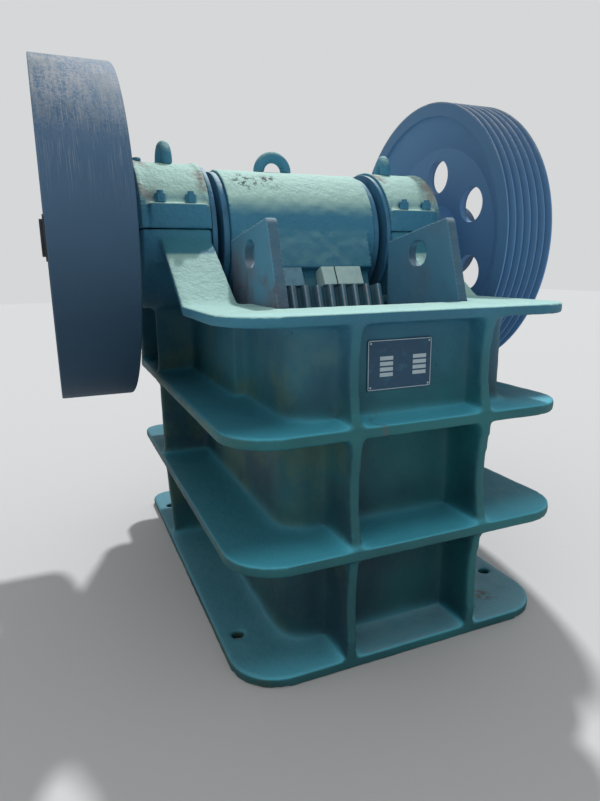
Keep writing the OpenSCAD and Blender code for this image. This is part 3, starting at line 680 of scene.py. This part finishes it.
def cast_skin(name, nodes, voxel, faces, rounds=0, soft=2, height=0.0):
    """One rounded mesh made from CAD nodes, with filled inner corners, as a casting has."""
    rough = joined_copy(nodes, name + "_rough")
    remesh = rough.modifiers.new("Remesh", "REMESH")
    remesh.mode = "VOXEL"
    remesh.voxel_size = voxel * 1.0
    skin = baked(rough, name)
    discard(rough)
    net = Net(skin.data)
    net.soften(soft)
    net.fill_corners(rounds)
    if rounds:
        net.soften(1)
    if height:
        net.ripple(height, 9.0)
        net.ripple(height, 40.0)
    net.write()
    triangles = sum(len(p.vertices) - 2 for p in skin.data.polygons)
    if triangles > faces:
        thin = skin.modifiers.new("Decimate", "DECIMATE")
        thin.ratio = faces / triangles
        full = skin
        skin = baked(full, name)
        discard(full)
    Net(skin.data).mark_wear()
    skin.data.shade_smooth()
    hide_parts(*nodes)
    return skin


def finish_piece(piece, material, body):
    """Gives a new piece its material and the body that it rides on."""
    piece.data.materials.clear()
    piece.data.materials.append(material)
    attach(piece, body)


def lathe(name, profile, sides, place, axis):
    """A solid turned about an axis through a place. profile is (radius, distance along the axis)."""
    turned = Vector(axis).to_track_quat("Z", "Y").to_matrix()
    verts, faces = [], []
    for radius, along in profile:
        for i in range(sides):
            angle = math.tau * (i + 0.5) / sides
            spot = Vector((radius * math.cos(angle), radius * math.sin(angle), along))
            verts.append(tuple(Vector(place) + turned @ spot))
    for row in range(len(profile) - 1):
        for i in range(sides):
            a, b = row * sides + i, row * sides + (i + 1) % sides
            faces.append((a, b, b + sides, a + sides))
    faces.append(tuple(reversed(range(sides))))
    faces.append(tuple(range(len(verts) - sides, len(verts))))
    return new_object(name, verts, faces)


def join_pieces(name, pieces):
    """One object made of several, which are used up."""
    verts, faces = [], []
    for piece in pieces:
        start = len(verts)
        verts += [tuple(v.co) for v in piece.data.vertices]
        faces += [tuple(start + i for i in p.vertices) for p in piece.data.polygons]
        discard(piece)
    return new_object(name, verts, faces)


def slab(name, outline, front, back):
    """A plate facing -Y, from an [x, z] outline."""
    n = len(outline)
    verts = [(x, front, z) for x, z in outline] + [(x, back, z) for x, z in outline]
    faces = [tuple(range(n)), tuple(reversed(range(n, 2 * n)))]
    faces += [(i, n + i, n + (i + 1) % n, (i + 1) % n) for i in range(n)]
    return new_object(name, verts, faces)


def round_corners(x0, x1, z0, z1, radius, steps=6):
    """An [x, z] rectangle with round corners, anticlockwise as seen from -Y."""
    outline = []
    for x, z, turn in ((x1, z0, -90), (x1, z1, 0), (x0, z1, 90), (x0, z0, 180)):
        cx = x - math.copysign(radius, x - (x0 + x1) / 2)
        cz = z - math.copysign(radius, z - (z0 + z1) / 2)
        for i in range(steps + 1):
            angle = math.radians(turn + 90 * i / steps)
            outline.append((cx + radius * math.cos(angle), cz + radius * math.sin(angle)))
    return outline


def dress(node, material, edge=0.0, segments=2):
    """Gives a CAD node its material, and rounds its edges."""
    thing = frame["nodes"][node]
    for slot in thing.material_slots:
        slot.material = material
    if edge:
        weld = thing.modifiers.new("Weld", "WELD")
        weld.merge_threshold = 0.00002
        bevel = thing.modifiers.new("Bevel", "BEVEL")
        bevel.width = edge
        bevel.segments = segments
        bevel.limit_method = "ANGLE"
        bevel.angle_limit = math.radians(35)
        bevel.harden_normals = True
    return thing


# Operators


class CRUSHER_OT_frame_casting(bpy.types.Operator):
    """Cast frame: one skin with fillets between its walls, flanges and ribs"""

    bl_idname = "crusher.frame_casting"
    bl_label = "Frame casting"

    def execute(self, context):
        look = context.scene.crusher_casting
        skin = cast_skin(
            "frame_casting",
            CASTING_NODES,
            look.voxel,
            look.faces,
            look.fillet_rounds,
            2,
            look.ripple,
        )
        paint = context.scene.crusher_paint
        green = cast_paint("Cast green", paint, 0.82, rusted=BASE_RUST, shadow_above=SHADE_HEIGHT)
        finish_piece(skin, green, "frame")
        return {"FINISHED"}


class CRUSHER_OT_data_plate(bpy.types.Operator):
    """Blank data plate on the front, with two columns of empty fields and four rivets"""

    bl_idname = "crusher.data_plate"
    bl_label = "Data plate"

    def execute(self, context):
        paint = context.scene.crusher_paint
        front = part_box("frame_front_wall")[0][1] + PLATE_SETBACK
        x0, x1, z0, z1 = PLATE_SPAN
        ground = slab("data_plate", round_corners(x0, x1, z0, z1, 0.004), front - 0.0018, front + 0.001)
        finish_piece(ground, plate_paint("Plate ground", paint, paint.plate), "frame")
        lines = self.rim(x0 + 0.0015, x1 - 0.0015, z0 + 0.0015, z1 - 0.0015, 0.0014, front)
        wide, high = x1 - x0, z1 - z0
        for left, right in ((0.19, 0.39), (0.70, 0.91)):
            for row in range(4):
                top = z1 - high * (0.33 + 0.108 * row)
                corners = self.corners(x0 + wide * left, x0 + wide * right, top - high * 0.075, top)
                lines.append(slab("field", corners, front - 0.0021, front - 0.0016))
        ruled = join_pieces("data_plate_lines", lines)
        light = plate_paint("Plate lines", paint, paint.plate_line)
        finish_piece(ruled, light, "frame")
        rivets = []
        for x in (x0 + 0.007, x1 - 0.007):
            for z in (z0 + 0.007, z1 - 0.007):
                profile = [(0.0025, 0.0), (0.0023, 0.001), (0.0016, 0.0016), (0.0004, 0.0018)]
                rivets.append(lathe("rivet", profile, 12, (x, front - 0.0018, z), (0, -1, 0)))
        finish_piece(join_pieces("data_plate_rivets", rivets), light, "frame")
        return {"FINISHED"}

    def corners(self, x0, x1, z0, z1):
        return [(x0, z0), (x1, z0), (x1, z1), (x0, z1)]

    def rim(self, x0, x1, z0, z1, width, front):
        """The four bars of a raised rectangular line."""
        bars = [
            (x0, x1, z0, z0 + width),
            (x0, x1, z1 - width, z1),
            (x0, x0 + width, z0, z1),
            (x1 - width, x1, z0, z1),
        ]
        return [slab("line", self.corners(*bar), front - 0.0022, front - 0.0016) for bar in bars]


class CRUSHER_OT_bearings(bpy.types.Operator):
    """Bearing caps with their bolts, lifting loops, plugs and covers"""

    bl_idname = "crusher.bearings"
    bl_label = "Bearings"

    def execute(self, context):
        paint = context.scene.crusher_paint
        look = context.scene.crusher_casting
        cap = cast_paint("Cap green", paint, 1.15, primer=0.8)
        for node in CAP_NODES:
            skin = cast_skin(node + "_skin", [node], look.fine, 40000, 10, 2, look.ripple / 2)
            finish_piece(skin, cap, "frame")
        loop = cast_paint("Loop green", paint, 0.25)
        for node in LOOP_NODES:
            skin = cast_skin(node + "_skin", [node], look.fine * 0.7, 9000, 4, 2)
            body = "swing_jaw" if node.startswith("head") else "frame"
            finish_piece(skin, loop, body)
        bolt = cast_paint("Bolt green", paint, 0.1, skinned=False)
        for node in BOLT_NODES:
            dress(node, bolt, look.edge * 0.5)
        cover = cover_paint("Covers", paint)
        for node in COVER_NODES + RING_NODES:
            dress(node, cover, look.edge * 0.8)
        self.plug(bolt)
        return {"FINISHED"}

    def plug(self, material):
        """Grease plug on top of the left cap, near its outer end."""
        low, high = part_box("left_bearing_cap")
        spot = (low[0] + 0.025, SHAFT.y, high[2] - 0.006)
        profile = [(0.0125, 0.0), (0.0125, 0.010), (0.0105, 0.013), (0.004, 0.0135)]
        piece = lathe("cap_grease_plug", profile, 6, spot, (0, 0, 1))
        finish_piece(piece, material, "frame")


class CRUSHER_OT_jaws(bpy.types.Operator):
    """Swing jaw, both jaw plates, wedges and cheek plates"""

    bl_idname = "crusher.jaws"
    bl_label = "Jaws"

    def execute(self, context):
        paint = context.scene.crusher_paint
        look = context.scene.crusher_casting
        green = cast_paint("Jaw green", paint, scars=HEAD_SCARS)
        skin = cast_skin("swing_jaw_skin", ["swing_jaw"], look.fine * 1.3, 110000, 12, 2, look.ripple)
        finish_piece(skin, green, "swing_jaw")
        wedge = wedge_paint("Wedge paint", paint, WEDGE_SLIT_X)
        skin = cast_skin("swing_jaw_wedges_skin", ["swing_jaw_wedges"], 0.0012, 16000, 0, 2)
        finish_piece(skin, wedge, "swing_jaw")
        moving = tooth_steel("Swing jaw teeth", paint, SWING_TIPS)
        still = tooth_steel("Fixed jaw teeth", paint)
        for node, body, teeth in (
            ("swing_jaw_plate", "swing_jaw", moving),
            ("fixed_jaw_plate", "frame", still),
        ):
            skin = cast_skin(node + "_skin", [node], look.fine * 0.85, 60000, 3, 1, look.ripple / 3)
            finish_piece(skin, teeth, body)
        cheek = plate_skin("Cheek skin", paint)
        for node in CHEEK_NODES:
            skin = cast_skin(node + "_skin", [node], look.fine, 24000, 0, 2, look.ripple)
            finish_piece(skin, cheek, "frame")
        inner = cast_paint("Inner green", paint, skinned=False)
        for node in GREEN_NODES:
            dress(node, inner, look.edge)
        return {"FINISHED"}


class CRUSHER_OT_wheels(bpy.types.Operator):
    """Shaft, flywheel and sheave"""

    bl_idname = "crusher.wheels"
    bl_label = "Shaft and wheels"

    def execute(self, context):
        scene = context.scene
        paint = scene.crusher_paint
        edge = scene.crusher_casting.edge
        low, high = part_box("flywheel")
        iron = wheel_paint("Flywheel iron", paint, paint.flywheel, (high[2] - low[2]) / 2, high[0])
        dress("flywheel", iron, edge * 1.2, 3)
        low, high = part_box("sheave")
        iron = wheel_paint("Sheave iron", paint, paint.sheave, (high[2] - low[2]) / 2)
        dress("sheave", iron, edge * 0.6, 3)
        bare = steel("Bare steel", paint, paint.steel, 0.9, 0.3)
        for node in BARE_NODES:
            dress(node, bare, edge * 0.4)
        dull = steel("Dark steel", paint, paint.dark_steel, 0.6, 0.5, 0.2)
        for node in DARK_NODES:
            dress(node, dull, edge * 0.5)
        return {"FINISHED"}


class CRUSHER_OT_stage(bpy.types.Operator):
    """Floor, lamps and the camera"""

    bl_idname = "crusher.stage"
    bl_label = "Stage"

    def execute(self, context):
        scene = context.scene
        look = scene.crusher_stage
        self.floor()
        key = self.lamp("Key", "SUN", LAMP_AIM + SUN_FROM * 6.5, look.key)
        key.angle = math.radians(look.key_spread)
        fill = self.lamp("Fill", "AREA", (-2.6, -3.4, 2.4), look.fill)
        fill.size = 3.0
        self.sky(scene, look.sky)
        self.camera(scene, look)
        scene.view_settings.view_transform = "Standard"
        return {"FINISHED"}

    def floor(self):
        mesh = bpy.data.meshes.new("floor")
        reach = 14.0
        mesh.from_pydata(
            [(-reach, -reach, 0), (reach, -reach, 0), (reach, reach, 0), (-reach, reach, 0)],
            [],
            [(0, 1, 2, 3)],
        )
        ground = bpy.data.objects.new("floor", mesh)
        bpy.context.scene.collection.objects.link(ground)
        f = Finish("Floor")
        ground.data.materials.append(f.close(srgb(205, 206, 207), 0.9))

    def lamp(self, name, kind, place, power):
        data = bpy.data.lights.new(name, kind)
        data.energy = power
        thing = bpy.data.objects.new(name, data)
        thing.location = place
        aim = LAMP_AIM - Vector(place)
        thing.rotation_euler = aim.to_track_quat("-Z", "Y").to_euler()
        bpy.context.scene.collection.objects.link(thing)
        return data

    def sky(self, scene, strength):
        world = bpy.data.worlds.new("Studio")
        world.use_nodes = True
        scene.world = world
        tree = world.node_tree
        tree.nodes.clear()
        light = tree.nodes.new("ShaderNodeBackground")
        light.inputs["Color"].default_value = (1.0, 1.0, 1.0, 1.0)
        light.inputs["Strength"].default_value = strength
        shown = tree.nodes.new("ShaderNodeBackground")
        shown.inputs["Color"].default_value = srgb(214, 215, 216)
        shown.inputs["Strength"].default_value = 1.0
        path = tree.nodes.new("ShaderNodeLightPath")
        seen = path.outputs["Is Camera Ray"]
        for kind in ("Is Glossy Ray", "Is Transmission Ray"):
            either = tree.nodes.new("ShaderNodeMath")
            either.operation = "MAXIMUM"
            tree.links.new(seen, either.inputs[0])
            tree.links.new(path.outputs[kind], either.inputs[1])
            seen = either.outputs[0]
        mix = tree.nodes.new("ShaderNodeMixShader")
        out = tree.nodes.new("ShaderNodeOutputWorld")
        tree.links.new(seen, mix.inputs[0])
        tree.links.new(light.outputs[0], mix.inputs[1])
        tree.links.new(shown.outputs[0], mix.inputs[2])
        tree.links.new(mix.outputs[0], out.inputs[0])

    def camera(self, scene, look):
        """The photograph's viewpoint: heading, tilt and roll, and a focal length in pixels."""
        turn, tilt, roll = (math.radians(a) for a in (look.turn, look.tilt, look.roll))
        ahead = Vector(
            (math.sin(turn) * math.cos(tilt), math.cos(turn) * math.cos(tilt), math.sin(tilt))
        )
        level = Vector((math.cos(turn), -math.sin(turn), 0))
        above = level.cross(ahead)
        right = math.cos(roll) * level + math.sin(roll) * above
        above = math.cos(roll) * above - math.sin(roll) * level
        data = bpy.data.cameras.new("Camera")
        data.sensor_width = 36.0
        # The sensor's width covers the long side of the picture, 801 pixels
        data.lens = look.focal / 801 * data.sensor_width
        data.clip_start = 0.05
        data.clip_end = 60.0
        thing = bpy.data.objects.new("Camera", data)
        turned = Matrix((right, above, -ahead)).transposed().to_4x4()
        thing.matrix_world = Matrix.Translation(look.eye) @ turned
        scene.collection.objects.link(thing)
        scene.camera = thing


STEPS = [
    ("frame_casting", "Frame casting"),
    ("data_plate", "Data plate"),
    ("bearings", "Bearings"),
    ("jaws", "Jaws"),
    ("wheels", "Shaft and wheels"),
    ("stage", "Stage"),
]


class CRUSHER_PT_panel(bpy.types.Panel):
    """The crusher's steps, in the sidebar"""

    bl_idname = "CRUSHER_PT_panel"
    bl_label = "Jaw crusher"
    bl_space_type = "VIEW_3D"
    bl_region_type = "UI"
    bl_category = "Crusher"

    def draw(self, context):
        for name, label in STEPS:
            self.layout.operator("crusher." + name, text=label)


CLASSES = [
    CrusherPaint,
    CrusherCasting,
    CrusherStage,
    CRUSHER_OT_frame_casting,
    CRUSHER_OT_data_plate,
    CRUSHER_OT_bearings,
    CRUSHER_OT_jaws,
    CRUSHER_OT_wheels,
    CRUSHER_OT_stage,
    CRUSHER_PT_panel,
]


def register():
    for cls in CLASSES:
        bpy.utils.register_class(cls)
    bpy.types.Scene.crusher_paint = PointerProperty(type=CrusherPaint)
    bpy.types.Scene.crusher_casting = PointerProperty(type=CrusherCasting)
    bpy.types.Scene.crusher_stage = PointerProperty(type=CrusherStage)


def unregister():
    del bpy.types.Scene.crusher_stage
    del bpy.types.Scene.crusher_casting
    del bpy.types.Scene.crusher_paint
    for cls in reversed(CLASSES):
        bpy.utils.unregister_class(cls)


def main():
    """Builds everything."""
    register()
    for name, _ in STEPS:
        getattr(bpy.ops.crusher, name)()


if __name__ == "__main__":
    main()
